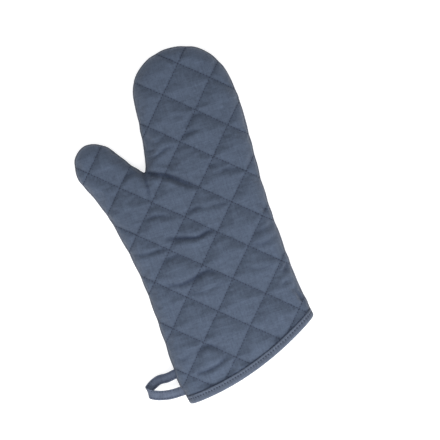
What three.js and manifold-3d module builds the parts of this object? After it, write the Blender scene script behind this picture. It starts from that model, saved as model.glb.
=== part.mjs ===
// A quilted oven mitt for the left hand, lying on its back with the palm up, in millimetres.
// +X points to the little-finger side, +Y from the cuff to the fingertips, and +Z out of the palm.
//
// Two mitt-shaped halves meet at the side seam. Each half is an outer cloth, wadding and a lining, nested
// like bowls. The palm half carries diamond quilting. A folded tape binds the slanted cuff, and a tape loop
// is caught in the side seam to hang the mitt by. The fingers and the thumb fold towards the palm, so every
// layer is divided at those two fold lines.
import * as THREE from "three";
import { mergeVertices } from "three/addons/utils/BufferGeometryUtils.js";
import Module from "manifold-3d";

const wasm = await Module();
wasm.setup();

// ---- driving dimensions ----
const GAP = 0.3; // clearance kept between neighbouring pieces
const OUTER_CLOTH = 1.0;
const WADDING = 3.4;
const LINING_CLOTH = 0.9;
const HEIGHT = 22; // back of the mitt to the top of the palm, without the quilting thread
const RIM_WIDTH = 15; // the rounded border between the side seam and the flat of each half
const SEAM_ROOM = 1.4; // height left between the halves for the sewn seam
const SEAM_LOW = 7.3; // where the back half ends, above the table

const CUFF_SQUEEZE = 2.2; // how far the outer cloth is pressed in under the binding
const BINDING_WIDTH = 8;
const BINDING_CLOTH = 1.0;
const BINDING_WEB = 1.2; // the folded bottom edge of the tape
const THREAD = 0.6; // how far a row of stitches stands up
const THREAD_WIDTH = 1.0;
const CUFF_STITCH_ROW = 5; // height of the topstitching above the cuff's edge

const QUILT_PITCH = 33.7;
const QUILT_ANGLE = 47; // degrees from +X; the other family is square to it
const QUILT_START = [51.2, -4.6]; // signed distance of one line of each family from the origin

const FINGER_FOLD_Y = 235;
const THUMB_LEAN = 27; // degrees of the thumb's axis away from +Y
const CROTCH = [-39, 208];
const THUMB_FOLD_REACH = 11; // from the crotch along the thumb's axis to its fold line

const LOOP_TAPE_WIDTH = 10;
const LOOP_TAPE = 1.6; // four thicknesses of folded cloth

// ---- the mitt's outline, from the cuff's thumb corner round to its other corner ----
const OUTLINE = [
  [-64.5, -20], [-69, 5], [-70, 56], [-72, 108], [-80, 160], [-91, 200],
  [-100.5, 223], [-98.5, 241], [-86, 251], [-69, 247], [-57, 232], [-45, 216],
  CROTCH, [-35.5, 213], [-32.5, 227], [-29.5, 257], [-25, 289], [-9, 309],
  [16, 316], [42.5, 311], [62, 292], [69, 261], [68.5, 220], [65.5, 152], [68.5, 90], [72.5, 36], [73, 22],
];
const SAMPLES_PER_SPAN = 2;
const RIM_STEPS = 3;
const CUFF_COLUMNS = 6;
const STACK = OUTER_CLOTH + WADDING + LINING_CLOTH + 2 * GAP;
const STACK_ROW = BINDING_WEB + GAP; // the layers start just above the binding's fold
const SQUEEZED_ROW = BINDING_WIDTH + 3;
const FULL_ROW = SQUEEZED_ROW + 12; // from here up the layers have their full thickness

// The cuff's edge, lower on the thumb side and bowed outwards.
const cuffLine = (x) => -4.8 + 0.3 * x + 0.0021 * x * x;

const outlineCurve = new THREE.CatmullRomCurve3(
  OUTLINE.map(([x, y]) => new THREE.Vector3(x, y, 0)), false, "centripetal");

// How much of the cuff's squeeze applies at a height above the cuff's edge: all of it under the binding.
function squeezeShare(row) {
  return 1 - THREE.MathUtils.smoothstep(row, SQUEEZED_ROW, FULL_ROW);
}

// Where the outline crosses a height above the cuff's edge, on the thumb side (+1) or the other (-1).
function edgeAtRow(side, row) {
  const point = (u) => outlineCurve.getPoint(side > 0 ? u : 1 - u);
  let [low, high] = [0, 0.2];
  for (let i = 0; i < 40; i += 1) {
    const middle = (low + high) / 2;
    const p = point(middle);
    if (p.y - cuffLine(p.x) < row) low = middle;
    else high = middle;
  }
  return { x: point(low).x, u: side > 0 ? low : 1 - low, side, row };
}

// Samples along the sewn outline, with rows that match on both sides near the cuff.
function outlineSamples(firstRow) {
  const rows = [firstRow, SQUEEZED_ROW, FULL_ROW];
  const left = rows.map((row) => edgeAtRow(1, row));
  const right = rows.map((row) => edgeAtRow(-1, row)).reverse();
  const spans = OUTLINE.length - 1;
  const middle = [];
  for (let i = 1; i < spans * SAMPLES_PER_SPAN; i += 1) {
    const u = i / (spans * SAMPLES_PER_SPAN);
    if (u < left.at(-1).u + 0.3 / spans || u > right[0].u - 0.3 / spans) continue;
    const p = outlineCurve.getPoint(u);
    const t = outlineCurve.getTangent(u);
    middle.push({ x: p.x, y: p.y, nx: t.y, ny: -t.x, row: FULL_ROW + 1 });
  }
  return [...left, ...middle, ...right];
}

// A point at a distance inwards from a sample. Near the cuff it moves along the cuff's own line.
function inward(sample, distance) {
  if (sample.side === undefined) {
    return [sample.x + sample.nx * distance, sample.y + sample.ny * distance];
  }
  const x = sample.x + sample.side * distance;
  return [x, cuffLine(x) + sample.row];
}

// The half's nested surfaces. depth is the distance in from the outer surface, and turn runs from 0 at the
// seam to a right angle where the rounded border meets the flat.
const HALVES = {
  palm: { seam: SEAM_LOW + SEAM_ROOM, rise: HEIGHT - SEAM_LOW - SEAM_ROOM, up: 1 },
  back: { seam: SEAM_LOW, rise: SEAM_LOW, up: -1 },
};

function surfaceHeight(half, depth, turn) {
  return half.seam + half.up * (half.rise - depth) * Math.sin(turn);
}

function rimDistance(depth, turn) {
  return RIM_WIDTH - (RIM_WIDTH - depth) * Math.cos(turn);
}

function squeezed(depth, row) {
  return depth + CUFF_SQUEEZE * squeezeShare(row) * (1 - depth / STACK);
}

// One surface of a layer: the rim's rings round the outline, then the columns of the flat near the cuff.
function layerSurface(half, depth, samples) {
  const points = [];
  for (let step = 0; step <= RIM_STEPS; step += 1) {
    const turn = (step / RIM_STEPS) * (Math.PI / 2);
    for (const sample of samples) {
      const here = squeezed(depth, sample.row);
      const [x, y] = inward(sample, rimDistance(here, turn));
      points.push([x, y, surfaceHeight(half, here, turn)]);
    }
  }
  for (let level = 0; level < 3; level += 1) {
    const { row } = samples[level];
    const left = samples[level].x + RIM_WIDTH;
    const right = samples.at(-1 - level).x - RIM_WIDTH;
    for (let column = 1; column <= CUFF_COLUMNS; column += 1) {
      const x = THREE.MathUtils.lerp(left, right, column / (CUFF_COLUMNS + 1));
      points.push([x, cuffLine(x) + row, surfaceHeight(half, squeezed(depth, row), Math.PI / 2)]);
    }
  }
  return points;
}

// The triangles of a layer's surface, and the loop of points round its edge.
function layerFaces(points, count) {
  const faces = [];
  const ring = (step, i) => step * count + i;
  const quad = (a, b, c, d) => faces.push([a, b, c], [a, c, d]);
  for (let step = 0; step < RIM_STEPS; step += 1) {
    for (let i = 0; i + 1 < count; i += 1) {
      quad(ring(step, i), ring(step, i + 1), ring(step + 1, i + 1), ring(step + 1, i));
    }
  }
  const cuffRow = (level) => {
    const first = (RIM_STEPS + 1) * count + level * CUFF_COLUMNS;
    const inner = Array.from({ length: CUFF_COLUMNS }, (_, i) => first + i);
    return [ring(RIM_STEPS, level), ...inner, ring(RIM_STEPS, count - 1 - level)];
  };
  for (let level = 0; level < 2; level += 1) {
    const [low, high] = [cuffRow(level), cuffRow(level + 1)];
    for (let i = 0; i + 1 < low.length; i += 1) quad(low[i], high[i], high[i + 1], low[i + 1]);
  }
  const flat = [...Array.from({ length: count - 4 }, (_, i) => ring(RIM_STEPS, i + 2)),
    ...cuffRow(2).slice(1, -1).reverse()];
  const outline = flat.map((i) => new THREE.Vector2(points[i][0], points[i][1]));
  for (const [a, b, c] of THREE.ShapeUtils.triangulateShape(outline, [])) {
    faces.push([flat[a], flat[c], flat[b]]);
  }
  const up = (i) => Array.from({ length: RIM_STEPS }, (_, step) => ring(step + 1, i));
  const edge = [...Array.from({ length: count }, (_, i) => ring(0, i)), ...up(count - 1),
    ...cuffRow(0).slice(1, -1).reverse(), ...up(0).reverse()];
  return { faces, edge };
}

// ---- solids ----
function geometryOf(points, faces) {
  const geometry = new THREE.BufferGeometry();
  geometry.setAttribute("position", new THREE.Float32BufferAttribute(points.flat(), 3));
  geometry.setIndex(faces.flat());
  return geometry;
}

function solidOf(geometry) {
  const bare = geometry.clone();
  bare.deleteAttribute("normal");
  bare.deleteAttribute("uv");
  const merged = mergeVertices(bare, 1e-4);
  const mesh = { numProp: 3, vertProperties: merged.attributes.position.array,
    triVerts: new Uint32Array(merged.index.array) };
  return new wasm.Manifold(new wasm.Mesh(mesh));
}

function geometryFrom(solid) {
  const { numProp, numVert, vertProperties, triVerts } = solid.getMesh();
  const points = [];
  for (let i = 0; i < numVert; i += 1) {
    points.push(Array.from(vertProperties.slice(i * numProp, i * numProp + 3)));
  }
  return geometryOf(points, [Array.from(triVerts)]);
}

// A closed solid from faces that all turn the same way: turned round if its volume comes out negative.
function closedSolid(points, faces) {
  const corner = (i) => new THREE.Vector3(...points[i]);
  const volume = faces.reduce(
    (sum, [a, b, c]) => sum + corner(a).dot(corner(b).cross(corner(c))), 0);
  const outward = volume < 0 ? faces.map(([a, b, c]) => [a, c, b]) : faces;
  return solidOf(geometryOf(points, outward));
}

function layerSolid(half, outerDepth, innerDepth, firstRow = STACK_ROW) {
  const samples = outlineSamples(firstRow);
  const outer = layerSurface(half, outerDepth, samples);
  const inner = layerSurface(half, innerDepth, samples);
  const { faces, edge } = layerFaces(outer, samples.length);
  const shift = outer.length;
  const all = [...faces, ...faces.map(([a, b, c]) => [a + shift, c + shift, b + shift])];
  edge.forEach((a, i) => {
    const b = edge[(i + 1) % edge.length];
    all.push([b, a, a + shift], [b, a + shift, b + shift]);
  });
  return closedSolid([...outer, ...inner], all);
}

// A solid swept through rings of points, each ring with the same number: a closed loop, or capped at its ends.
function sweptSolid(rings, closed) {
  const size = rings[0].length;
  const faces = [];
  rings.forEach((_, i) => {
    if (!closed && i === rings.length - 1) return;
    const next = (i + 1) % rings.length;
    for (let j = 0; j < size; j += 1) {
      const k = (j + 1) % size;
      faces.push([i * size + j, i * size + k, next * size + k],
        [i * size + j, next * size + k, next * size + j]);
    }
  });
  if (!closed) {
    const last = (rings.length - 1) * size;
    for (let j = 1; j + 1 < size; j += 1) {
      faces.push([0, j + 1, j], [last, last + j, last + j + 1]);
    }
  }
  return closedSolid(rings.flat(), faces);
}

// ---- the folds: each zone holds what moves with the fingers or the thumb ----
const REACH = 200;

function zone(corner, lean, toSide, clearance) {
  const box = new THREE.BoxGeometry(REACH, REACH, REACH);
  box.translate((toSide * REACH) / 2, REACH / 2 + clearance, 0);
  box.rotateZ(THREE.MathUtils.degToRad(lean));
  box.translate(corner[0], corner[1], 0);
  return solidOf(box);
}

const thumbAxis = new THREE.Vector2(0, 1).rotateAround(
  new THREE.Vector2(), THREE.MathUtils.degToRad(THUMB_LEAN));
const THUMB_FOLD = [CROTCH[0] + thumbAxis.x * THUMB_FOLD_REACH, CROTCH[1] + thumbAxis.y * THUMB_FOLD_REACH];
const FINGER_CORNER = [CROTCH[0] - 5, FINGER_FOLD_Y];

const fingerZone = (clearance) => zone(FINGER_CORNER, 0, 1, clearance);
const thumbZone = (clearance) => zone(THUMB_FOLD, THUMB_LEAN, -1, clearance);

function divided(solid) {
  return {
    hand: solid.subtract(fingerZone(-GAP)).subtract(thumbZone(-GAP)),
    fingers: solid.intersect(fingerZone(GAP)),
    thumb: solid.intersect(thumbZone(GAP)),
  };
}

// ---- the pieces ----
const cloth = (name, color) =>
  new THREE.MeshStandardMaterial({ name, color, roughness: 0.92, metalness: 0 });
const outerMaterial = cloth("outer_cloth", "#5a6478");
const liningMaterial = cloth("lining_cloth", "#666f82");
const waddingMaterial = cloth("wadding", "#dcdad2");
const tapeMaterial = cloth("tape", "#646e82");
const threadMaterial = cloth("thread", "#3c465c");

const mitt = new THREE.Group();

function addPiece(name, solid, material) {
  const mesh = new THREE.Mesh(geometryFrom(solid), material);
  mesh.name = name;
  mitt.add(mesh);
}

function addDivided(name, solid, material) {
  for (const [zoneName, piece] of Object.entries(divided(solid))) {
    addPiece(`${name}_${zoneName}`, piece, material);
  }
}

function addLayers() {
  const waddingDepth = OUTER_CLOTH + GAP;
  const liningDepth = waddingDepth + WADDING + GAP;
  for (const [name, half] of Object.entries(HALVES)) {
    addDivided(`${name}_cloth`, layerSolid(half, 0, OUTER_CLOTH), outerMaterial);
    addDivided(`${name}_wadding`, layerSolid(half, waddingDepth, waddingDepth + WADDING), waddingMaterial);
    addDivided(`${name}_lining`, layerSolid(half, liningDepth, STACK), liningMaterial);
  }
}

// The sewn seam that joins the halves, a flat band just inside the outline.
function addSideSeam() {
  const low = SEAM_LOW + GAP;
  const high = SEAM_LOW + SEAM_ROOM - GAP;
  const band = sweptSolid(outlineSamples(STACK_ROW).map((sample) => {
    const outer = inward(sample, squeezed(GAP, sample.row));
    const inner = inward(sample, STACK - GAP);
    return [[...outer, low], [...inner, low], [...inner, high], [...outer, high]];
  }), false);
  const { hand, fingers, thumb } = divided(band);
  const centre = (body) => (body.boundingBox().min[0] + body.boundingBox().max[0]) / 2;
  const [left, crotch, right] = hand.decompose().sort((a, b) => centre(a) - centre(b));
  addPiece("side_seam_thumb_side", left, threadMaterial);
  addPiece("side_seam_crotch", crotch, threadMaterial);
  addPiece("side_seam_little_finger_side", right, threadMaterial);
  addPiece("side_seam_fingers", fingers, threadMaterial);
  addPiece("side_seam_thumb", thumb, threadMaterial);
}

// The stations round the cuff's mouth: over the palm from the thumb side, and back under the hand.
function mouthStations() {
  const stations = [];
  const steps = Array.from({ length: RIM_STEPS + 1 }, (_, i) => (i / RIM_STEPS) * (Math.PI / 2));
  const rim = (half, side, turn) => (depth, row) => {
    const [x, y] = inward(edgeAtRow(side, row), rimDistance(depth, turn));
    return [x, y, surfaceHeight(half, depth, turn)];
  };
  const flat = (half, share) => (depth, row) => {
    const left = edgeAtRow(1, row).x + RIM_WIDTH;
    const right = edgeAtRow(-1, row).x - RIM_WIDTH;
    const x = THREE.MathUtils.lerp(left, right, share);
    return [x, cuffLine(x) + row, surfaceHeight(half, depth, Math.PI / 2)];
  };
  for (const [half, first] of [[HALVES.palm, 1], [HALVES.back, -1]]) {
    steps.forEach((turn) => stations.push(rim(half, first, turn)));
    for (let column = 1; column <= CUFF_COLUMNS; column += 1) {
      const share = column / (CUFF_COLUMNS + 1);
      stations.push(flat(half, first > 0 ? share : 1 - share));
    }
    [...steps].reverse().forEach((turn) => stations.push(rim(half, -first, turn)));
  }
  return stations;
}

function addBinding() {
  const outside = CUFF_SQUEEZE - GAP - BINDING_CLOTH;
  const inside = STACK + GAP + BINDING_CLOTH;
  const fold = BINDING_CLOTH;
  const profile = [
    [outside, BINDING_WIDTH], [outside, fold], [outside + fold, 0], [inside - fold, 0], [inside, fold],
    [inside, BINDING_WIDTH], [inside - BINDING_CLOTH, BINDING_WIDTH], [inside - BINDING_CLOTH, BINDING_WEB],
    [outside + BINDING_CLOTH, BINDING_WEB], [outside + BINDING_CLOTH, BINDING_WIDTH],
  ];
  const thread = [
    [0, CUFF_STITCH_ROW], [0, CUFF_STITCH_ROW + THREAD_WIDTH],
    [THREAD, CUFF_STITCH_ROW + THREAD_WIDTH], [THREAD, CUFF_STITCH_ROW],
  ];
  const stations = mouthStations();
  const around = (section) => stations.map((place) => section.map(([depth, row]) => place(depth, row)));
  addPiece("cuff_binding", sweptSolid(around(profile), true), tapeMaterial);
  addPiece("cuff_topstitching", sweptSolid(around(thread), true), threadMaterial);
}

// The quilting thread lies on the palm in two families of lines that cross into one net.
function addQuilting() {
  const skin = layerSolid(HALVES.palm, -GAP - THREAD, -GAP, BINDING_WIDTH + GAP);
  const lines = QUILT_START.flatMap((start, family) => {
    const first = Math.floor((-REACH - start) / QUILT_PITCH);
    return Array.from({ length: 2 * Math.ceil((2 * REACH) / QUILT_PITCH) }, (_, i) => {
      const line = new THREE.BoxGeometry(3 * REACH, THREAD_WIDTH, REACH);
      line.translate(0, start + (first + i) * QUILT_PITCH, 0);
      line.rotateZ(THREE.MathUtils.degToRad(QUILT_ANGLE + 90 * family));
      return solidOf(line);
    });
  });
  const net = lines.reduce((sum, line) => sum.add(line)).intersect(skin);
  for (const [zoneName, piece] of Object.entries(divided(net))) {
    const runs = piece.decompose().sort((a, b) => b.volume() - a.volume());
    runs.forEach((run, i) => {
      const suffix = i === 0 ? "net" : `end_run_${i}`;
      addPiece(`quilting_${zoneName}_${suffix}`, run, threadMaterial);
    });
  }
}

// The hang loop's centre line leaves the seam, dips to the table, turns up and over, and returns lower down.
const LOOP_PATH = [
  [-70.9, 16.5, 8], [-78.5, 15.3, 5.4], [-87, 15.5, 2.6], [-94, 13, 2.4],
  [-100, 9, 5.4], [-99, 5.7, 9.6], [-92.5, 2.2, 11.2], [-83, -0.4, 10.6], [-76, -1.1, 9.2], [-70.4, -1.1, 8],
];
const LOOP_STEPS = 26;
const LOOP_STITCH_INSET = 0.06; // the share of the loop left unstitched at each end

function addHangLoop() {
  const path = new THREE.CatmullRomCurve3(
    LOOP_PATH.map((p) => new THREE.Vector3(...p)), false, "centripetal");
  const along = new THREE.Vector3(0, 1, 0); // the tape's width follows the seam
  const section = (inset, halfWidth, low, high) => Array.from({ length: LOOP_STEPS + 1 }, (_, i) => {
    const u = THREE.MathUtils.lerp(inset, 1 - inset, i / LOOP_STEPS);
    const centre = path.getPoint(u);
    const run = path.getTangent(u);
    const side = along.clone().addScaledVector(run, -along.dot(run)).normalize();
    const out = side.clone().cross(run).normalize();
    const corner = (across, height) =>
      centre.clone().addScaledVector(side, across).addScaledVector(out, height).toArray();
    return [corner(-halfWidth, low), corner(halfWidth, low), corner(halfWidth, high), corner(-halfWidth, high)];
  });
  const half = LOOP_TAPE / 2;
  const tape = section(0, LOOP_TAPE_WIDTH / 2, -half, half);
  const stitching = section(LOOP_STITCH_INSET, THREAD_WIDTH / 2, half + GAP, half + GAP + THREAD);
  addPiece("hang_loop", sweptSolid(tape, false), tapeMaterial);
  addPiece("hang_loop_stitching", sweptSolid(stitching, false), threadMaterial);
}

addLayers();
addSideSeam();
addBinding();
addQuilting();
addHangLoop();

// The origin is under the middle of the mitt, on the table.
const bounds = new THREE.Box3().setFromObject(mitt);
const middle = bounds.getCenter(new THREE.Vector3());
mitt.position.set(-middle.x, -middle.y, -bounds.min.z);

export default mitt;
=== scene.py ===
"""A quilted oven mitt, lying on its plain back with the palm up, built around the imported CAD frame.

Lengths in the shape code are millimetres in the mitt's own axes: +X to the little-finger side, +Y from the
cuff to the fingertips, +Z out of the palm. to_row() turns them into the row frame's metres. A row is a
height above the cuff's slanted edge, and a depth is measured in from a half's smooth outer surface.
"""

import math

import bpy
import numpy as np
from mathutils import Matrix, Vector, noise
from mathutils.bvhtree import BVHTree
from mathutils.geometry import delaunay_2d_cdt


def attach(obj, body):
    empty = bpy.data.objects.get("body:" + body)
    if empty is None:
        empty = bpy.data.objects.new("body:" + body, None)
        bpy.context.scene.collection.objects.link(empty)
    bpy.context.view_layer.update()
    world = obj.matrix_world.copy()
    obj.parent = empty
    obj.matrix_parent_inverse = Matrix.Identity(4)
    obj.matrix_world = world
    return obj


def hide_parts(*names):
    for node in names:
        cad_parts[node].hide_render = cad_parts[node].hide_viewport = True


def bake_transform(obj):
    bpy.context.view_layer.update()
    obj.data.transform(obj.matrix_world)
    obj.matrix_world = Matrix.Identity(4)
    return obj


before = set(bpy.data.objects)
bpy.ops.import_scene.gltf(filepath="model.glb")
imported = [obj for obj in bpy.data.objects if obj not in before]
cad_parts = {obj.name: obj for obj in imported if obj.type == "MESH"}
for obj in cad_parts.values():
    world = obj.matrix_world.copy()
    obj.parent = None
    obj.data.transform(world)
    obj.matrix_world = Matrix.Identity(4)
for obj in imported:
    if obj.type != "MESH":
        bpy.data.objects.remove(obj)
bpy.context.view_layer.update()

# ---- the mitt's sizes ----
SHIFT = np.array([14.717, -150.309, 0.0])  # from the mitt's axes to the row frame
CROTCH = (-38.3, 209.2)
OUTLINE = [
    (-64.5, -20), (-69, 5), (-70, 56), (-72, 108), (-80, 160), (-91, 200),
    (-100.5, 223), (-98.5, 241), (-86, 251), (-69, 247), (-57, 232), (-45, 216),
    CROTCH, (-35.5, 214), (-32.5, 227), (-28.6, 257), (-24.2, 288), (-18, 300.5),
    (-4, 310.8), (17, 315.8), (43, 310.2), (61.5, 291), (69, 261), (68.5, 220), (65.5, 152),
    (67.4, 90), (68.9, 61), (72.2, 43), (74.0, 34), (74.9, 21),
]
RIM = 15.0  # the rounded border of each half
SEAM_Z = 8.0
PALM_RISE = 14.0
BACK_RISE = 8.0
BINDING = 8.0  # the binding's height on the cuff
CUFF_SQUEEZE = 1.2  # how far the binding presses the outer cloth in
SQUEEZE_ROWS = (BINDING + 0.5, BINDING + 12)
FIRST_ROW = 1.5  # where the layers end, inside the binding
FINGER_FOLD_Y = 235.0
FINGER_BEND = 17.0  # how far the fold spreads each way
THUMB_LEAN = math.radians(27)
THUMB_BEND = 22.0
THUMB_AXIS = np.array([-math.sin(THUMB_LEAN), math.cos(THUMB_LEAN)])
THUMB_SIDE = np.array([math.cos(THUMB_LEAN), math.sin(THUMB_LEAN)])

# ---- the layers' depths ----
CLOTH = 0.8
WADDING_BOTTOM = 4.7
WADDING_TOP_MOST = 4.6  # the deepest that the palm's wadding may start
LINING_DEPTHS = (5.0, 5.8)
STACK = 5.9

# ---- the quilting: signed distances of its lines from the origin, in two families by angle ----
LINES = {
    47.0: (186.1, 152.1, 117.6, 83.3, 51.0, 16.8, -18.4, 219.1),
    137.8: (-237.8, -204.2, -170.4, -138.3, -106.4, -71.4, -37.5, -4.3, 30.1),
}
STITCH_PITCH = 3.0
# The line that would pass above the crotch is pulled down to it, left of BENT_FROM_X.
BENT_OFFSET, BENT_FROM_X = -138.3, -6.3
BENT_END = [(-37.3, 209.3), (-30.5, 206.4), (-20.5, 202.2), (-12.5, 196.9), (-7.3, 193.2)]
LINE_REACH = 400  # a line runs this far each way before it is cut to the mitt
WANDER = 0.55  # how far a line strays
WANDER_AT = np.arange(-LINE_REACH, LINE_REACH + 1, 6.0)
FAR = 1e9


def to_row(points):
    return (np.asarray(points, float) + SHIFT) / 1000.0


def smoothstep(x, low, high):
    t = np.clip((x - low) / (high - low), 0, 1)
    return t * t * (3 - 2 * t)


def bell(x, width):
    return np.exp(-((x / width) ** 2))


def unit(v):
    """A vector, or each row of an array of them, at length 1."""
    return v / np.linalg.norm(v, axis=-1, keepdims=True)


def noise_at(*place):
    return noise.noise(Vector(place))


def cuff_line(x):
    """The cuff's edge: its Y at each X."""
    return -4.8 + 0.3 * x + 0.0021 * x * x


def row_of(xy):
    return xy[:, 1] - cuff_line(xy[:, 0])


def squeeze_of(row):
    return CUFF_SQUEEZE * (1 - smoothstep(row, *SQUEEZE_ROWS))


def runs_of(good):
    """The stretches of two or more neighbours that are all good, as lists of their places."""
    places = np.nonzero(good)[0]
    stretches = np.split(places, np.nonzero(np.diff(places) > 1)[0] + 1)
    return [run for run in stretches if len(run) > 1]


# ---- lines ----
def centripetal(points, per_span=60):
    """A smooth line through the points: a centripetal Catmull-Rom spline."""
    points = np.asarray(points, float)
    p = np.vstack([2 * points[0] - points[1], points, 2 * points[-1] - points[-2]])
    out = []
    for i in range(1, len(p) - 2):
        a, b, c, d = p[i - 1 : i + 3]
        t = np.cumsum([0] + [math.sqrt(np.linalg.norm(v)) for v in (b - a, c - b, d - c)])
        for x in np.linspace(t[1], t[2], per_span, endpoint=False):
            ab = ((t[1] - x) * a + (x - t[0]) * b) / (t[1] - t[0])
            bc = ((t[2] - x) * b + (x - t[1]) * c) / (t[2] - t[1])
            cd = ((t[3] - x) * c + (x - t[2]) * d) / (t[3] - t[2])
            abc = ((t[2] - x) * ab + (x - t[0]) * bc) / (t[2] - t[0])
            bcd = ((t[3] - x) * bc + (x - t[1]) * cd) / (t[3] - t[1])
            out.append(((t[2] - x) * abc + (x - t[1]) * bcd) / (t[2] - t[1]))
    out.append(points[-1])
    return np.array(out)


def respaced(line, step):
    """The same line with its points evenly spaced, about step apart."""
    s = np.concatenate([[0], np.cumsum(np.linalg.norm(np.diff(line, axis=0), axis=1))])
    n = max(2, int(round(s[-1] / step)) + 1)
    t = np.linspace(0, s[-1], n)
    return np.stack([np.interp(t, s, line[:, k]) for k in range(line.shape[1])], 1)


def inward(line):
    """The way into the mitt at each point of a line that follows the outline from the thumb's side."""
    way = unit(np.gradient(line, axis=0))
    return np.column_stack([way[:, 1], -way[:, 0]])


def line_axes(angle):
    a = math.radians(angle)
    return np.array([math.cos(a), math.sin(a)]), np.array([-math.sin(a), math.cos(a)])


def wander(t, offset):
    """How far a line of stitching strays to the side, t along it."""
    return WANDER * np.interp(t, WANDER_AT, [noise_at(x / 30, offset, 0.5) for x in WANDER_AT])


def line_points(angle, offset, step, phase):
    along, across = line_axes(angle)
    t = np.arange(-LINE_REACH, LINE_REACH, step) + phase
    line = across * (offset + wander(t, offset))[:, None] + along * t[:, None]
    return line[line[:, 0] > BENT_FROM_X] if offset == BENT_OFFSET else line


def quilting(step, shifted=False):
    """All the lines of quilting. shifted moves each along itself, so that the stitches don't line up."""
    number = 0
    for angle, offsets in LINES.items():
        for offset in offsets:
            yield line_points(angle, offset, step, 0.37 * number % 1.0 if shifted else 0.0)
            number += 1
    yield respaced(centripetal(BENT_END, 20), step)


def line_gap(xy):
    """Each point's distance to the nearest line of quilting."""
    bent = respaced(centripetal(BENT_END, 20), 0.25)
    best = np.full(len(xy), FAR)
    near = np.nonzero(((xy - bent.mean(0)) ** 2).sum(1) < 40**2)[0]
    best[near] = np.sqrt(((xy[near, None] - bent[None]) ** 2).sum(2).min(1))
    for angle, offsets in LINES.items():
        along, across = line_axes(angle)
        for offset in offsets:
            gap = np.abs(xy @ across - offset - wander(xy @ along, offset))
            if offset == BENT_OFFSET:
                gap[xy[:, 0] < BENT_FROM_X - 2] = FAR
            best = np.minimum(best, gap)
    return best


# ---- the sewn outline ----
NOTCH_WIDTH, NOTCH_DEPTH, BULGE = 4.5, 0.6, 0.17  # the quilting pulls the outline in where it ends
WAVINESS = 0.3


def sewn_outline():
    """The outline above FIRST_ROW, notched by the quilting, and the place of the crotch in it."""
    curve = centripetal(OUTLINE)
    rows = row_of(curve)
    keep = np.nonzero(rows > FIRST_ROW)[0]
    curve, rows = curve[keep[0] : keep[-1] + 1], rows[keep[0] : keep[-1] + 1]
    drawn_in = NOTCH_DEPTH * bell(line_gap(curve), NOTCH_WIDTH) - BULGE
    drawn_in += WAVINESS * np.array([noise_at(x / 22, y / 22, 6.4) for x, y in curve])
    drawn_in *= smoothstep(rows, 14, 30) * smoothstep(np.linalg.norm(curve - CROTCH, axis=1), 4, 12)
    curve = curve + inward(curve) * drawn_in[:, None]
    return curve, int(np.argmin(np.linalg.norm(curve - CROTCH, axis=1)))


CURVE, AT_CROTCH = sewn_outline()
SEAM_CROTCH = CURVE[AT_CROTCH]


def seam_line(step):
    """The sewn outline in even steps, with a point exactly at the crotch."""
    before, after = respaced(CURVE[: AT_CROTCH + 1], step), respaced(CURVE[AT_CROTCH:], step)
    return np.vstack([before, after[1:]])


SEAM = seam_line(0.7)
ON_SEAM = 0.08  # nearer than this is on the seam
SURE_WAY = 0.6  # nearer than this, the way in is square to the seam


def seam_distance(points):
    """Each point's distance in from the sewn outline, and the way in."""
    best, way = np.zeros(len(points)), np.zeros((len(points), 2))
    at_once = 2000
    for first in range(0, len(points), at_once):
        q = points[first : first + at_once]
        nearest = ((q[:, None, :] - SEAM[None]) ** 2).sum(2).argmin(1)
        d = np.full(len(q), FAR)
        n = np.zeros_like(q)
        for start in (np.maximum(nearest - 1, 0), np.minimum(nearest, len(SEAM) - 2)):
            a, run = SEAM[start], SEAM[start + 1] - SEAM[start]
            t = np.clip(((q - a) * run).sum(1) / (run**2).sum(1), 0, 1)
            gap = q - a - run * t[:, None]
            far = np.linalg.norm(gap, axis=1)
            square = np.stack([run[:, 1], -run[:, 0]], 1) / np.linalg.norm(run, axis=1)[:, None]
            way_in = np.where(far[:, None] > SURE_WAY, gap / np.maximum(far, 1e-6)[:, None], square)
            closer = far < d
            d[closer], n[closer] = far[closer], way_in[closer]
        best[first : first + at_once] = np.where(d < ON_SEAM, 0, d)
        way[first : first + at_once] = n
    return best, way


def in_thumb(xy):
    """Whether each point is beyond the line across the thumb's root."""
    return ((xy - SEAM_CROTCH) @ THUMB_AXIS > 0) & ((xy - SEAM_CROTCH) @ THUMB_SIDE < 0)


# ---- the meshes' plan: triangles with vertices along the quilting, the cuff and the thumb's root ----
CUFF_WIDTH = 140  # roughly, to choose how many points go along it


def cuff_points(step):
    x = np.linspace(CURVE[-1][0], CURVE[0][0], int(CUFF_WIDTH / step))[1:-1]
    return np.stack([x, cuff_line(x) + FIRST_ROW], 1)


BORDER = np.vstack([respaced(SEAM, 2.0), cuff_points(2.0)])


def inside(points):
    """Whether each point is inside the outline, by counting crossings."""
    a, b = BORDER, np.roll(BORDER, -1, axis=0)
    x, y = points[:, 0][:, None], points[:, 1][:, None]
    crosses = (a[:, 1] > y) != (b[:, 1] > y)
    with np.errstate(divide="ignore", invalid="ignore"):
        at = a[:, 0] + (y - a[:, 1]) * (b[:, 0] - a[:, 0]) / (b[:, 1] - a[:, 1])
    return (crosses & (x < at)).sum(1) % 2 == 1


def stretches_inside(line, gap, first_row):
    """The parts of a line that keep a gap to the outline and are above a row."""
    d, _ = seam_distance(line)
    good = inside(line) & (d > gap) & (row_of(line) > first_row)
    return [line[run] for run in runs_of(good)]


def guides(step, quilted):
    """Lines for the triangles' edges to follow: the thumb's root, and the quilting."""
    root = SEAM_CROTCH - THUMB_SIDE * np.arange(step, 60, step)[:, None]
    for part in stretches_inside(root, 0.5, FIRST_ROW + 1.0):
        yield np.vstack([SEAM_CROTCH[None], part])
    if quilted:
        for line in quilting(step):
            yield from stretches_inside(line, 1.2, FIRST_ROW + 1.0)


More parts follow.
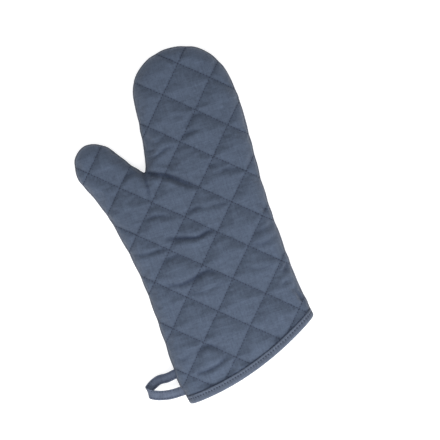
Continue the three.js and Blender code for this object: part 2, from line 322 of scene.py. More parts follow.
def plan(step, quilted):
    """Vertices and triangles of the mitt's plan."""
    points, edges = [], []

    def chain(line, closed=False):
        first = len(points)
        points.extend(line)
        edges.extend((first + i, first + i + 1) for i in range(len(line) - 1))
        if closed:
            edges.append((first + len(line) - 1, first))

    outline = seam_line(step)
    chain(np.vstack([outline, cuff_points(step)]), True)
    kept = list(guides(step, quilted))
    for line in kept:
        chain(line)

    # loose points: rings that follow the rounded border, and an even grid over the rest
    loose = []
    line = seam_line(step * 1.05)
    for turn in np.radians([10, 19, 28, 37]):
        d = RIM * (1 - math.cos(turn))
        ring = line + inward(line) * d
        real, _ = seam_distance(ring)
        loose.append(ring[(real > d * 0.93) & (row_of(ring) > FIRST_ROW + 0.6)])
    ys = np.arange(-22, 320, step * 0.866)
    xs = np.arange(-104, 78, step)
    grid = np.array([(x + (step / 2 if j % 2 else 0), y) for j, y in enumerate(ys) for x in xs])
    d, _ = seam_distance(grid)
    loose.append(grid[inside(grid) & (d > 4.4) & (row_of(grid) > FIRST_ROW + step * 0.6)])
    loose = np.vstack(loose)
    taken = np.vstack([outline, *kept])
    at_once = 1500
    ok = np.ones(len(loose), bool)
    for first in range(0, len(loose), at_once):
        gap = loose[first : first + at_once, None, :] - taken[None]
        ok[first : first + at_once] = (gap**2).sum(2).min(1) > (step * 0.42) ** 2
    points.extend(loose[ok])

    flat = [Vector((float(x), float(y))) for x, y in points]
    verts, _, faces, *_ = delaunay_2d_cdt(flat, edges, [], 0, 1e-5)
    xy = np.array([tuple(v) for v in verts])
    tri = np.array([f for f in faces if len(f) == 3])
    tri = tri[inside(xy[tri].mean(1))]
    a, b, c = xy[tri[:, 0]], xy[tri[:, 1]], xy[tri[:, 2]]
    flip = (b - a)[:, 0] * (c - a)[:, 1] - (b - a)[:, 1] * (c - a)[:, 0] < 0
    tri[flip] = tri[flip][:, ::-1]
    used, tri = np.unique(tri, return_inverse=True)
    return xy[used], tri.reshape(-1, 3)


class Half:
    """One half of the mitt: its plan, with the smooth surface that its layers are measured from."""

    def __init__(self, step, quilted, rise, up):
        self.xy, tri = plan(step, quilted)
        self.tri = tri if up > 0 else tri[:, ::-1]
        self.rise, self.up = rise, up
        self.d, self.way = seam_distance(self.xy)
        self.row = row_of(self.xy)
        self.turn = np.arccos(np.clip(1 - self.d / RIM, 0, 1))  # 0 at the seam, a right angle on the flat
        self.normal = np.column_stack([-self.way * np.cos(self.turn)[:, None], up * np.sin(self.turn)])
        self.squeeze = squeeze_of(self.row)

    def at(self, depth):
        """The layer surface at that depth. It may differ from point to point."""
        depth = np.broadcast_to(np.asarray(depth, float), self.d.shape)
        depth = depth + self.squeeze * (1 - np.clip(depth, 0, STACK) / STACK)
        shift = self.way * (depth * np.cos(self.turn))[:, None]
        z = SEAM_Z + self.up * (self.rise - depth) * np.sin(self.turn)
        return np.column_stack([self.xy + shift, z])


# ---- folds and wrinkles: (points, half width, depth) ----
PALM_CREASES = [
    ([(-39, 209.5), (-31, 205.8), (-21, 201.5), (-12, 195), (-4, 188.5), (4, 182.5)], 2.7, 2.9),
    ([(-39, 211), (-39.6, 202), (-40, 194), (-41, 184)], 2.1, 1.3),
    ([(-44, 212), (-52, 212.5), (-62, 208)], 2.2, 0.9),
    ([(-32, 228), (-26, 227), (-20, 227.5)], 1.8, 0.7),
    ([(-29, 220), (-21, 221.5), (-13, 224.5), (-5, 225)], 2.0, 1.3),
    ([(-28, 233), (-17, 233.5), (-8, 236)], 2.2, 0.7),
    ([(0, 250), (7, 250.5), (15, 249)], 2.0, 0.8),
    ([(5, 231), (14, 232.5), (25, 233)], 2.0, 0.9),
    ([(12, 240), (22, 246), (32, 247)], 2.2, 0.7),
    ([(-50, 166), (-40, 166), (-28, 161)], 2.4, 1.0),
    ([(-12, 160), (0, 161.5), (8, 159)], 2.4, 0.9),
    ([(10, 160), (20, 158), (30, 157.5)], 2.2, 0.8),
    ([(26, 187), (38, 188), (50, 184)], 2.6, 0.8),
    ([(18, 201), (26, 196), (36, 195)], 2.4, 0.6),
    ([(-76, 138), (-62, 134.5), (-50, 134), (-40, 134.5)], 2.2, 1.0),
    ([(-37, 142), (-29, 140), (-19, 137.5), (-10, 135), (2, 137), (8, 136.5)], 2.6, 1.9),
    ([(-49, 122), (-38, 124), (-27, 123)], 2.4, 1.0),
    ([(-50, 99.5), (-36, 97), (-24, 98.5), (-10, 101), (-3, 98)], 2.6, 1.7),
    ([(-32, 85), (-18, 83.5), (-6, 85), (4, 87)], 2.2, 0.8),
    ([(38, 112), (50, 110), (64, 113)], 2.4, 1.0),
    ([(44, 122), (52, 122), (62, 124)], 2.2, 0.7),
    ([(27, 92), (38, 88), (50, 87.5)], 2.6, 0.8),
    ([(59, 77), (63, 81), (66, 84)], 2.2, 1.2),
    ([(54, 66), (58, 68), (62, 70)], 2.2, 1.1),
    ([(65, 59), (67.5, 51), (71, 43)], 2.0, 1.2),
    ([(-44, 30), (-35, 33.5), (-27, 31.5), (-19, 25)], 2.4, 1.0),
    ([(-48, 11), (-39, 11), (-29, 12.5), (-17, 18)], 2.4, 1.5),
    ([(-64, 30), (-57, 28), (-51, 30)], 2.6, 0.8),
    ([(56, 148), (61, 142), (64, 133)], 2.2, 0.8),
    ([(28, 8), (37, 27), (52, 40)], 2.6, 0.5),
    ([(-82, 186), (-72, 180), (-60, 178)], 2.8, 0.5),
]
BACK_CREASES = [
    ([(-40, 209), (-28, 212), (-12, 210), (2, 204)], 2.6, 2.6),
    ([(-39, 207), (-30, 201), (-18, 197), (-8, 196)], 2.6, 2.4),
    ([(-46, 212), (-56, 206), (-70, 203)], 2.6, 1.1),
    ([(-66, 128), (-40, 133), (-10, 130), (18, 134), (46, 130)], 4.0, 1.1),
    ([(-20, 108), (8, 112), (36, 108), (60, 112)], 4.0, 0.9),
    ([(-66, 70), (-40, 64), (-14, 68)], 4.0, 0.8),
    ([(-10, 176), (20, 170), (52, 176)], 4.0, 0.9),
    ([(-22, 244), (4, 240), (30, 246), (58, 240)], 3.6, 1.0),
    ([(-18, 270), (12, 276), (44, 270)], 4.0, 0.7),
    ([(-88, 222), (-76, 226), (-64, 222)], 2.8, 0.8),
]


def creased(xy, creases):
    """How far the creases push each point down (and the ridges beside them up), and how much shade is painted in
    one.
    """
    depth, dark = np.zeros(len(xy)), np.zeros(len(xy))
    for corners, width, amount in creases:
        line = centripetal(corners, 8)
        reach = 5 * width
        near = np.nonzero(((xy > line.min(0) - reach) & (xy < line.max(0) + reach)).all(1))[0]
        if not len(near):
            continue
        d2 = ((xy[near, None, :] - line[None]) ** 2).sum(2)
        d = np.sqrt(d2.min(1))
        t = d2.argmin(1) / (len(line) - 1)
        taper = np.sin(np.pi * np.clip(0.12 + 0.8 * t, 0, 1)) ** 0.8
        valley = bell(d, width)
        ridge = bell(d - 2.2 * width, 1.2 * width)
        depth[near] += amount * taper * (valley - 0.32 * ridge)
        dark[near] = np.maximum(dark[near], np.minimum(1, amount / 1.8) * taper * bell(d, 0.75 * width))
    return depth, dark


def lumps(xy, size, seed):
    return np.array([noise_at(x / size, y / size, seed) for x, y in xy])


# ---- meshes ----
PIECES = {}
PARTS = ("main", "thumb")  # each layer is two pieces, because the thumb bends by itself
UV_MM = 100  # millimetres to a unit of the UV map


def vertex_normals(points, tri):
    a, b, c = points[tri[:, 0]], points[tri[:, 1]], points[tri[:, 2]]
    face = np.cross(b - a, c - a)
    out = np.zeros_like(points)
    for k in range(3):
        np.add.at(out, tri[:, k], face)
    return out / np.maximum(np.linalg.norm(out, axis=1), 1e-9)[:, None]


def add_mesh(name, points, faces, material, uv, shade=None, normals=None):
    """A mesh from points in millimetres. uv and shade are given per vertex; normals are per corner.

    shade is painted shade, read by the cloth materials: above 0 it darkens towards the painted shade's colour,
    below 0 it pales, which also paints highlights.
    """
    mesh = bpy.data.meshes.new(name)
    mesh.from_pydata(to_row(points).tolist(), [], [list(map(int, f)) for f in faces])
    mesh.update()
    loops = np.zeros(len(mesh.loops), np.int32)
    mesh.loops.foreach_get("vertex_index", loops)
    layer = mesh.uv_layers.new(name="flat")
    layer.data.foreach_set("uv", (np.asarray(uv) / UV_MM)[loops].astype(np.float32).ravel())
    tone = mesh.attributes.new("shade", "FLOAT", "POINT")
    values = np.zeros(len(points)) if shade is None else np.asarray(shade)
    tone.data.foreach_set("value", values.astype(np.float32))
    mesh.shade_smooth()
    if normals is not None:
        mesh.normals_split_custom_set([tuple(n) for n in normals])
    mesh.materials.append(material)
    PIECES[name] = add_object(name, mesh)


def add_object(name, data):
    obj = bpy.data.objects.new(name, data)
    bpy.context.scene.collection.objects.link(obj)
    return obj


def shell(half, layer, part, top, bottom, material, shade=None):
    """A closed sheet between two surfaces of a half: its main part, or its thumb's."""
    chosen = in_thumb(half.xy[half.tri].mean(1)) == (part == "thumb")
    used, tri = np.unique(half.tri[chosen], return_inverse=True)
    tri = tri.reshape(-1, 3)
    n = len(used)
    n_top, n_bottom = vertex_normals(top, half.tri), -vertex_normals(bottom, half.tri)
    normals = [n_top[used[v]] for f in tri for v in f] + [n_bottom[used[v]] for f in tri for v in f[::-1]]
    points = np.vstack([top[used], bottom[used]])
    faces = tri.tolist() + (tri[:, ::-1] + n).tolist()
    edges = np.concatenate([tri[:, [0, 1]], tri[:, [1, 2]], tri[:, [2, 0]]]).tolist()
    both_ways = {tuple(e) for e in edges}
    for a, b in edges:
        if (b, a) not in both_ways:  # the sheet's edge
            faces.append([b, a, a + n, b + n])
            side = np.cross(points[a] - points[b], points[b + n] - points[b])
            normals += [side / max(np.linalg.norm(side), 1e-9)] * 4
    flat = np.vstack([half.xy[used]] * 2)
    tone = None if shade is None else np.concatenate([shade[used]] * 2)
    add_mesh(f"{layer}_{part}", points, faces, material, flat, tone, normals)


def swept(name, rings, material, uv, shade=None, closed=False):
    """A tube through rings of points, all with the same number of points, capped unless it is closed."""
    n, m = len(rings), len(rings[0])
    faces = []
    for i in range(n if closed else n - 1):
        k = (i + 1) % n
        faces += [[i * m + j, i * m + (j + 1) % m, k * m + (j + 1) % m, k * m + j] for j in range(m)]
    if not closed:
        faces += [list(range(m))[::-1], [(n - 1) * m + j for j in range(m)]]
    points = np.concatenate(rings)
    volume = 0.0
    for f in faces:
        for k in range(1, len(f) - 1):
            volume += np.dot(points[f[0]], np.cross(points[f[k]], points[f[k + 1]]))
    if volume < 0:
        faces = [f[::-1] for f in faces]
    add_mesh(name, points, faces, material, uv, shade)


# ---- materials ----
def linear(rgb):
    c = np.array(rgb, float) / 255
    return tuple(np.where(c <= 0.04045, c / 12.92, ((c + 0.055) / 1.055) ** 2.4)) + (1.0,)


class Nodes:
    """A new material, and short calls for making and linking its nodes."""

    def __init__(self, name):
        self.material = bpy.data.materials.new(name)
        self.material.use_nodes = True
        self.tree = self.material.node_tree
        self.tree.nodes.clear()
        out = self.add("ShaderNodeOutputMaterial")
        self.shader = self.add("ShaderNodeBsdfPrincipled")
        self.put(self.shader.outputs[0], out.inputs[0])

    def add(self, kind, **settings):
        node = self.tree.nodes.new(kind)
        for key, value in settings.items():
            setattr(node, key, value)
        return node

    def put(self, value, socket):
        """Links a node's output to a socket, or sets the socket to a plain value."""
        if isinstance(value, bpy.types.NodeSocket):
            self.tree.links.new(value, socket)
        else:
            socket.default_value = value

    def look(self, **values):
        """Sets or links the shader's sockets, named with _ for a space."""
        for key, value in values.items():
            self.put(value, self.shader.inputs[key.replace("_", " ")])

    def math(self, op, *values, clamp=False):
        node = self.add("ShaderNodeMath", operation=op, use_clamp=clamp)
        for value, socket in zip(values, node.inputs):
            self.put(value, socket)
        return node.outputs[0]

    def times(self, *values, clamp=False):
        return self.math("MULTIPLY", *values, clamp=clamp)

    def total(self, first, *others):
        for other in others:
            first = self.math("ADD", first, other)
        return first

    def about(self, value, amount, middle=0.5):
        return self.times(self.math("SUBTRACT", value, middle), amount)

    def millimetres(self):
        """Where a point is on the flat cloth, in millimetres."""
        return self.scaled(self.add("ShaderNodeUVMap", uv_map="flat").outputs[0], (UV_MM, UV_MM, 1))

    def scaled(self, vector, scale):
        node = self.add("ShaderNodeMapping")
        self.put(vector, node.inputs["Vector"])
        self.put(scale, node.inputs["Scale"])
        return node.outputs[0]

    def noise(self, vector, scale, detail, rough=0.55):
        node = self.add("ShaderNodeTexNoise")
        for key, value in (("Vector", vector), ("Scale", scale), ("Detail", detail), ("Roughness", rough)):
            self.put(value, node.inputs[key])
        return node.outputs["Fac"]

    def brightened(self, colour, factor):
        node = self.add("ShaderNodeVectorMath", operation="SCALE")
        self.put(colour, node.inputs[0])
        self.put(factor, node.inputs["Scale"])
        return node.outputs[0]

    def bumped(self, height, strength, distance_m):
        node = self.add("ShaderNodeBump")
        for key, value in (("Height", height), ("Strength", strength), ("Distance", distance_m)):
            self.put(value, node.inputs[key])
        return node.outputs[0]


SLUB = 0.38  # how uneven the yarns are
MOTTLE = 0.24
# the colour that painted shade darkens the cloth towards: in creases, along the quilting and where cloth goes
# under the binding
SHADE_RGB = (19, 32, 58)
# how far a negative shade pales the cloth: the quilted cells' paler middles, painted highlights between the
# cuff's stitches, and a slight paling overall
PALE_GAIN = 0.25
MIX_FACTOR, MIX_A, MIX_B, MIX_RESULT = 0, 6, 7, 2  # a colour Mix node's sockets


def cloth_material(name, rgb, thread_mm=0.62, weave_mm=0.12):
    """Plain-woven cotton. The pattern follows the flat cloth, so it bends with it."""
    n = Nodes(name)
    mm = n.millimetres()
    split = n.add("ShaderNodeSeparateXYZ")
    n.put(mm, split.inputs[0])
    wobble = n.about(n.noise(mm, 0.35, 2), 1.4)
    rate = math.pi / thread_mm
    u = n.math("SINE", n.times(n.math("ADD", split.outputs[0], wobble), rate))
    v = n.math("SINE", n.times(n.math("SUBTRACT", split.outputs[1], wobble), rate))
    over = n.math("GREATER_THAN", n.times(u, v), 0.0)
    warp = n.times(n.math("ABSOLUTE", u), over)
    weft = n.times(n.math("ABSOLUTE", v), n.math("SUBTRACT", 1.0, over))
    weave = n.total(warp, weft)

    streak_u = n.noise(n.scaled(mm, (1.6, 0.09, 1)), 1.0, 3)
    streak_v = n.noise(n.scaled(mm, (0.09, 1.6, 1)), 1.0, 3)
    thick_u = n.noise(n.scaled(mm, (0.55, 0.045, 1)), 1.0, 2)
    thick_v = n.noise(n.scaled(mm, (0.045, 0.55, 1)), 1.0, 2)
    fuzz = n.noise(mm, 1.9, 4, 0.7)
    grain = n.noise(mm, 0.5, 2, 0.7)
    broad = n.noise(mm, 0.028, 3)
    tone = n.total(
        n.about(streak_u, SLUB),
        n.about(streak_v, SLUB),
        n.about(fuzz, SLUB * 2.2),
        n.about(broad, MOTTLE),
        n.about(grain, SLUB * 1.5),
        n.about(n.total(thick_u, thick_v), SLUB, 1.0),
        n.about(weave, 0.16, 0.6),
        1.0,
    )

    # Painted shade: the shade attribute darkens the colour towards the painted shade's colour, and pales it
    # where it is below 0
    shade = n.add("ShaderNodeAttribute", attribute_name="shade").outputs["Fac"]
    base = n.add("ShaderNodeMix", data_type="RGBA", blend_type="MIX")
    n.put(n.times(shade, 1.0, clamp=True), base.inputs[MIX_FACTOR])
    n.put(linear(rgb), base.inputs[MIX_A])
    n.put(linear(SHADE_RGB), base.inputs[MIX_B])
    pale_factor = n.total(1.0, n.times(n.times(shade, -1.0, clamp=True), PALE_GAIN))
    height = n.total(n.times(weave, weave_mm), n.times(fuzz, 0.10), n.times(n.total(streak_u, streak_v), 0.05))
    n.look(
        Base_Color=n.brightened(base.outputs[MIX_RESULT], n.times(tone, pale_factor)),
        Roughness=n.total(0.84, n.times(fuzz, 0.16)),
        Specular_IOR_Level=0.25,
        Sheen_Weight=0.12,
        Sheen_Roughness=0.5,
        Normal=n.bumped(height, 0.7, 0.001),
    )
    return n.material


def thread_material(name, rgb):
    """Twisted sewing thread."""
    n = Nodes(name)
    mm = n.millimetres()
    ply = n.add("ShaderNodeTexWave", wave_type="BANDS", bands_direction="DIAGONAL")
    for key, value in (("Vector", mm), ("Scale", 0.9), ("Distortion", 0.6)):
        n.put(value, ply.inputs[key])
    twist = ply.outputs["Fac"]
    fuzz = n.noise(mm, 2.5, 3)
    tone = n.total(0.82, n.total(n.times(twist, 0.2), n.times(fuzz, 0.16)))
    n.look(
        Base_Color=n.brightened(linear(rgb)[:3], tone),
        Roughness=n.total(0.6, n.times(fuzz, 0.25)),
        Normal=n.bumped(twist, 0.6, 0.0002),
    )
    return n.material


def wadding_material():
    """Tufted cotton batting."""
    n = Nodes("batting")
    tuft = n.noise(n.millimetres(), 0.6, 6, 0.7)
    ramp = n.add("ShaderNodeValToRGB")
    ramp.color_ramp.elements[0].color = linear((196, 193, 184))
    ramp.color_ramp.elements[1].color = linear((238, 236, 229))
    n.put(tuft, ramp.inputs[0])
    n.look(
        Base_Color=ramp.outputs[0],
        Roughness=n.total(0.85, n.times(tuft, 0.15)),
        Normal=n.bumped(tuft, 0.8, 0.001),
    )
    return n.material


PALM_CLOTH = cloth_material("palm_cotton", (74, 85, 103))
BACK_CLOTH = cloth_material("back_cotton", (72, 82, 100))
LINING = cloth_material("lining_cotton", (80, 89, 106), thread_mm=0.5, weave_mm=0.08)
TAPE = cloth_material("tape_cotton", (82, 91, 107), thread_mm=0.55, weave_mm=0.10)
LOOP_TAPE = cloth_material("loop_cotton", (91, 100, 118), thread_mm=0.55, weave_mm=0.10)
# The thread is darker than the cloth: partly its own colour, partly painted shade of the holes it goes into.
THREAD = thread_material("sewing_thread", (37, 45, 65))
SEAM_THREAD = cloth_material("seam_edge", (98, 104, 117), thread_mm=0.55)
BATTING = wadding_material()


# ---- the palm ----
def simulated(half, start, pinned):
    """Cloth let go between its pinned lines, with air under it."""
    scale = 100.0  # millimetres to a unit, so the mesh is ten times life size while it moves
    last_frame = 24
    mesh = bpy.data.meshes.new("swelling")
    mesh.from_pydata((start / scale).tolist(), [], half.tri.tolist())
    obj = add_object("swelling", mesh)
    obj.vertex_groups.new(name="pin").add(np.nonzero(pinned)[0].tolist(), 1.0, "REPLACE")
    mod = obj.modifiers.new("cloth", "CLOTH")
    s = mod.settings
    s.quality = 6
    s.mass = 0.15
    s.air_damping = 3.0
    s.tension_stiffness = s.compression_stiffness = 12
    s.shear_stiffness = 5
    s.bending_stiffness = 0.12
    s.use_pressure = True
    s.uniform_pressure_force = 1.3
    s.vertex_group_mass = "pin"
    s.shrink_min = -0.025
    s.effector_weights.gravity = 0
    mod.collision_settings.use_collision = False
    mod.collision_settings.use_self_collision = False
    mod.point_cache.frame_start, mod.point_cache.frame_end = 1, last_frame
    scene = bpy.context.scene
    for f in range(1, last_frame + 1):
        scene.frame_set(f)
    done = obj.evaluated_get(bpy.context.evaluated_depsgraph_get()).to_mesh()
    points = np.zeros(len(start) * 3, np.float32)
    done.vertices.foreach_get("co", points)
    bpy.data.objects.remove(obj)
    bpy.data.meshes.remove(mesh)
    scene.frame_set(1)
    return points.reshape(-1, 3).astype(float) * scale


SINK, SINK_WIDTH = 2.6, 4.2  # how far the quilting draws the cloth in
MOST_SWELLING = 5.0  # how far the simulation may move a point
MOST_SPREADING = 0.3  # and how far out past the outline
CREASE_GAIN = 1.45
DEEPEST = 3.5
BINDING_TUCK_ROW = 8.4  # the shadow line where cloth goes under the binding

palm = Half(1.8, True, PALM_RISE, 1)
gap = line_gap(palm.xy)
start = palm.at(0.3)
sink = SINK * np.exp(-((gap / SINK_WIDTH) ** 1.4)) * (smoothstep(palm.d, 0, 4) * smoothstep(palm.row, 7, 14))
start[:, 2] -= sink * np.sin(palm.turn)
top = start
push = simulated(palm, start, (gap < 0.14) | (palm.d < 0.3) | (palm.row < BINDING + 1)) - start
size = np.linalg.norm(push, axis=1)
push *= (np.minimum(size, MOST_SWELLING) / np.maximum(size, 1e-6))[:, None]
outward = np.maximum(-(push[:, :2] * palm.way).sum(1) - MOST_SPREADING, 0)
push[:, :2] += palm.way * outward[:, None]
top = start + push

crease, crease_shade = creased(palm.xy, PALM_CREASES)
stretch = np.array([0.3, 1.0])  # wrinkles run across the mitt
ripple = (
    0.4 * lumps(palm.xy, 15.0, 3.1)
    + 0.65 * lumps(palm.xy * stretch, 7.5, 8.7)
    + 0.34 * lumps(palm.xy * stretch, 3.8, 2.2)
)
ripple *= 0.35 + 0.65 * smoothstep(gap, 1, 6)
free = smoothstep(palm.d, 0.3, 4) * smoothstep(palm.row, 7, 12)
top = top - palm.normal * ((crease * CREASE_GAIN - ripple) * free)[:, None]
smooth = palm.at(0.0)
deep = ((smooth - top) * palm.normal).sum(1)
top = top + palm.normal * np.maximum(deep - DEEPEST, 0)[:, None]
inner = top - vertex_normals(top, palm.tri) * CLOTH

# Painted shade: darker along the quilting lines, in the creases and in a painted shadow line where the cloth
# goes under the binding; paler towards the middle of each quilted cell.
groove_shade = bell(gap, 1.2) * smoothstep(palm.row, 8.5, 9.5) * smoothstep(palm.d, 0.2, 3)
tuck_shadow = bell(palm.row - BINDING_TUCK_ROW, 0.8)
puff = np.clip((gap - 6) / 10, 0, 1)
shade = np.maximum.reduce([0.14 * groove_shade, 0.66 * crease_shade, 0.75 * tuck_shadow]) - 0.25 * puff * (1 - crease_shade)

# ---- the wadding under it, whose top keeps clear of the quilted cloth ----
coarse = Half(4.0, False, PALM_RISE, 1)
cloth_depth = ((smooth - inner) * palm.normal).sum(1)
wadding_top = np.zeros(len(coarse.xy))
for i, p in enumerate(coarse.xy):
    near = ((palm.xy - p) ** 2).sum(1) < 5.0**2
    wadding_top[i] = min(WADDING_TOP_MOST, max(0.9, cloth_depth[near].max()) + 0.35)
wadding_top = np.minimum(wadding_top / (1 - coarse.squeeze / STACK), WADDING_TOP_MOST)

# ---- the back ----
back = Half(3.0, False, BACK_RISE, -1)
back_crease, back_crease_shade = creased(back.xy, BACK_CREASES)
back_ripple = 0.5 * (lumps(back.xy, 22.0, 5.3) + 0.6) + 0.2 * lumps(back.xy, 7.0, 1.9)
back_free = smoothstep(back.d, 0.5, 7) * smoothstep(back.row, 8, 14)
back_depth = np.clip((np.maximum(back_crease, -0.3) + np.clip(back_ripple, 0, 2)) * back_free, 0, 3)
# Painted shade in the back's creases and in a painted shadow line where it goes under the binding, with a slight
# paling overall.
back_shade = 0.45 * back_crease_shade + 0.8 * bell(back.row - BINDING_TUCK_ROW, 0.7) - 0.1
back_wadding_top = np.minimum(back_depth + 1.1, 4.0)

for part in PARTS:
    shell(palm, "quilted_palm", part, top, inner, PALM_CLOTH, shade)
for part in PARTS:
    shell(coarse, "palm_batting", part, coarse.at(wadding_top), coarse.at(WADDING_BOTTOM), BATTING)
    shell(coarse, "palm_inner_cloth", part, *map(coarse.at, LINING_DEPTHS), LINING)
    shell(back, "plain_back", part, back.at(back_depth), back.at(back_depth + CLOTH), BACK_CLOTH, back_shade)
    shell(back, "back_batting", part, back.at(back_wadding_top), back.at(WADDING_BOTTOM), BATTING)
    shell(back, "back_inner_cloth", part, *map(back.at, LINING_DEPTHS), LINING)


# ---- stitches ----
# (place along it, radius), as shares of a stitch's length and of its radius
STITCH_PROFILE = [(-0.5, 0.0), (-0.42, 0.62), (-0.15, 1.0), (0.15, 1.0), (0.42, 0.62), (0.5, 0.0)]
STITCH_SIDES = 6
STITCH_DIP = 0.25  # how far a stitch's ends go down into the cloth
STITCH_LIFT = 0.18  # how far the quilting's stitches stand above the cloth
ABOVE_ALL = 60  # a height above the whole mitt
FEWEST_HITS = 8  # a line of quilting with fewer points than this is left out


def stitches(name, places, length, radius):
    """One mesh of short raised stitches. Each place is (centre, along, up)."""
    points, faces, flat = [], [], []
    sides = STITCH_SIDES
    for k, (centre, along, up) in enumerate(places):
        side = unit(np.cross(along, up))
        up = np.cross(side, along)
        first = len(points)
        points.append(centre + along * STITCH_PROFILE[0][0] * length - up * STITCH_DIP)
        flat.append((k * STITCH_PITCH, 0.0))
        for t, r in STITCH_PROFILE[1:-1]:
            dip = STITCH_DIP * (2 * abs(t)) ** 3
            for j in range(sides):
                a = 2 * math.pi * j / sides
                out = (side * math.cos(a) * 1.1 + up * math.sin(a)) * r * radius
                points.append(centre + along * t * length + out - up * dip)
                flat.append((k * STITCH_PITCH + t * length, radius * a))
        points.append(centre + along * STITCH_PROFILE[-1][0] * length - up * STITCH_DIP)
        flat.append((k * STITCH_PITCH + length, 0.0))
        rings = len(STITCH_PROFILE) - 2
        for j in range(sides):
            n = (j + 1) % sides
            faces.append([first, first + 1 + n, first + 1 + j])
            for i in range(rings - 1):
                a, b = first + 1 + i * sides, first + 1 + (i + 1) * sides
                faces.append([a + j, a + n, b + n, b + j])
            b = first + 1 + (rings - 1) * sides
            faces.append([b + j, b + n, first + 1 + rings * sides])
    add_mesh(name, np.array(points), faces, THREAD, np.array(flat))


def quilting_places():
    """Places for the stitches, spaced along the quilted cloth's own surface: (place, is it on the thumb)."""
    surface = BVHTree.FromPolygons([Vector(p) for p in top], palm.tri.tolist())
    for line in quilting(0.3, True):
        for part in stretches_inside(line, 0.12, BINDING + 1.0):
            hits = [surface.ray_cast(Vector((*p, ABOVE_ALL)), Vector((0, 0, -1)))[0] for p in part]
            seam = np.array([tuple(h) for h in hits if h is not None])
            if len(seam) < FEWEST_HITS:
                continue
            seam = respaced(seam, STITCH_PITCH)
            for p, way in zip((seam[1:] + seam[:-1]) / 2, np.diff(seam, axis=0)):
                near, normal, *_ = surface.find_nearest(Vector(p))
                up = np.array(normal)
                along = unit(way - up * np.dot(way, up))
                yield (np.array(near) + up * STITCH_LIFT, along, up), in_thumb(p[None, :2])[0]


quilted_places = list(quilting_places())
for part in PARTS:
    places = [place for place, on_thumb in quilted_places if on_thumb == (part == "thumb")]
    stitches(f"quilting_stitches_{part}", places, length=1.75, radius=0.42)


# ---- the side seam ----
EDGE_STEP, EDGE_RADIUS, EDGE_SIDES = 1.1, 0.7, 8
EDGE_INSET = 0.05


def tube(line):
    """Rings of points round a line, for the seam's rolled edge. Every third ring is a little thicker."""
    out = []
    for i, (p, t) in enumerate(zip(line, unit(np.gradient(line, axis=0)))):
        side = unit(np.array([-t[1], t[0], 0.0]))
        up = np.cross(t, side)
        r = EDGE_RADIUS * (1 + 0.06 * math.sin(2 * math.pi * i / 3))
        turns = np.arange(EDGE_SIDES) * 2 * math.pi / EDGE_SIDES
        out.append(np.array([p + (side * math.cos(a) + up * math.sin(a)) * r for a in turns]))
    return out


outline = seam_line(EDGE_STEP)
at_crotch = int(np.argmin(np.linalg.norm(outline - SEAM_CROTCH, axis=1)))
from_root = np.abs((outline - SEAM_CROTCH) @ THUMB_AXIS)
from_root[at_crotch - 30 :] = FAR  # the root's other end, on the thumb's side
at_root = int(np.argmin(from_root))
above_binding = np.nonzero(row_of(outline) > BINDING - 1)[0]
for name, first, last in (
    ("seam_edge_thumb_side", above_binding[0], at_root),
    ("seam_edge_thumb_round", at_root, at_crotch),
    ("seam_edge_fingers_round", at_crotch, above_binding[-1]),
):
    line = outline[first : last + 1]
    line = line + inward(line) * (squeeze_of(row_of(line))[:, None] + EDGE_INSET)
    rings = tube(np.column_stack([line, np.full(len(line), SEAM_Z)]))
    along = np.arange(len(line)) * EDGE_STEP
    uv = np.array([(a, b) for a in along for b in np.linspace(0, 4, EDGE_SIDES)])
    swept(name, rings, SEAM_THREAD, uv)


# ---- the cuff's binding ----
BINDING_SECTION = [  # (depth, row), from the palm's or the back's outside round the edge to the inside
    (1.2, 6.6), (1.2, 7.6), (1.1, 8.1), (0.8, 8.15), (0.5, 7.7), (0.38, 6.8), (0.45, 5.8), (0.72, 5.1),
    (0.6, 4.3), (0.35, 3.2), (0.32, 2.0), (0.55, 0.9), (1.2, 0.1), (2.3, -0.3), (3.8, -0.4), (5.2, -0.3),
    (6.4, 0.1), (7.1, 0.9), (7.4, 2.2), (7.4, 3.6), (7.15, 5.0), (7.4, 6.2), (7.35, 7.3), (7.0, 8.0),
    (6.5, 8.1), (6.15, 7.5), (6.1, 6.4), (6.1, 1.7), (5.2, 1.2), (2.0, 1.2), (1.2, 1.8),
]
MIDDLE_POINT = 9  # the section's point that the tape's length is measured along
TOPSTITCH_ROW = 5.05
TOPSTITCH_DEPTHS = ((0.72, 1), (7.28, -1))  # outside and inside, and which way is out
FLAT_WIDTH = 108  # the mouth between its rounded ends, roughly
WHOLE_OUTLINE = centripetal(OUTLINE)
SEAM_X = {}  # what seam_x has worked out already


def seam_x(side, row):
    """The smooth outline's X at a row, on the thumb side (+1) or the other (-1)."""
    key = (side, round(row, 3))
    if key not in SEAM_X:
        c = WHOLE_OUTLINE if side > 0 else WHOLE_OUTLINE[::-1]
        r = row_of(c)
        i = int(np.argmax(r > row))
        t = (row - r[i - 1]) / (r[i] - r[i - 1])
        SEAM_X[key] = (c[i - 1] + (c[i] - c[i - 1]) * t)[0]
    return SEAM_X[key]


def mouth_stations(step):
    """Places round the mouth, each a function from (depth, row) to a point."""
    out = []

    def rim(up, side, turn):
        rise = PALM_RISE if up > 0 else BACK_RISE

        def place(depth, row):
            x = seam_x(side, row) + side * (RIM - (RIM - depth) * math.cos(turn))
            return np.array([x, cuff_line(x) + row, SEAM_Z + up * (rise - depth) * math.sin(turn)])

        return place

    def flat(up, share):
        rise = PALM_RISE if up > 0 else BACK_RISE

        def place(depth, row):
            left, right = seam_x(1, row) + RIM, seam_x(-1, row) - RIM
            x = left + (right - left) * share
            return np.array([x, cuff_line(x) + row, SEAM_Z + up * (rise - depth)])

        return place

    turns = np.radians(np.linspace(0, 90, 17))
    count = int(round(FLAT_WIDTH / step))
    shares = (np.arange(count) + 1) / (count + 1)
    for up in (1, -1):
        out += [rim(up, up, t) for t in turns[(1 if up < 0 else 0) :]]
        out += [flat(up, s if up > 0 else 1 - s) for s in shares]
        out += [rim(up, -up, t) for t in turns[::-1][: (None if up > 0 else -1)]]
    return out


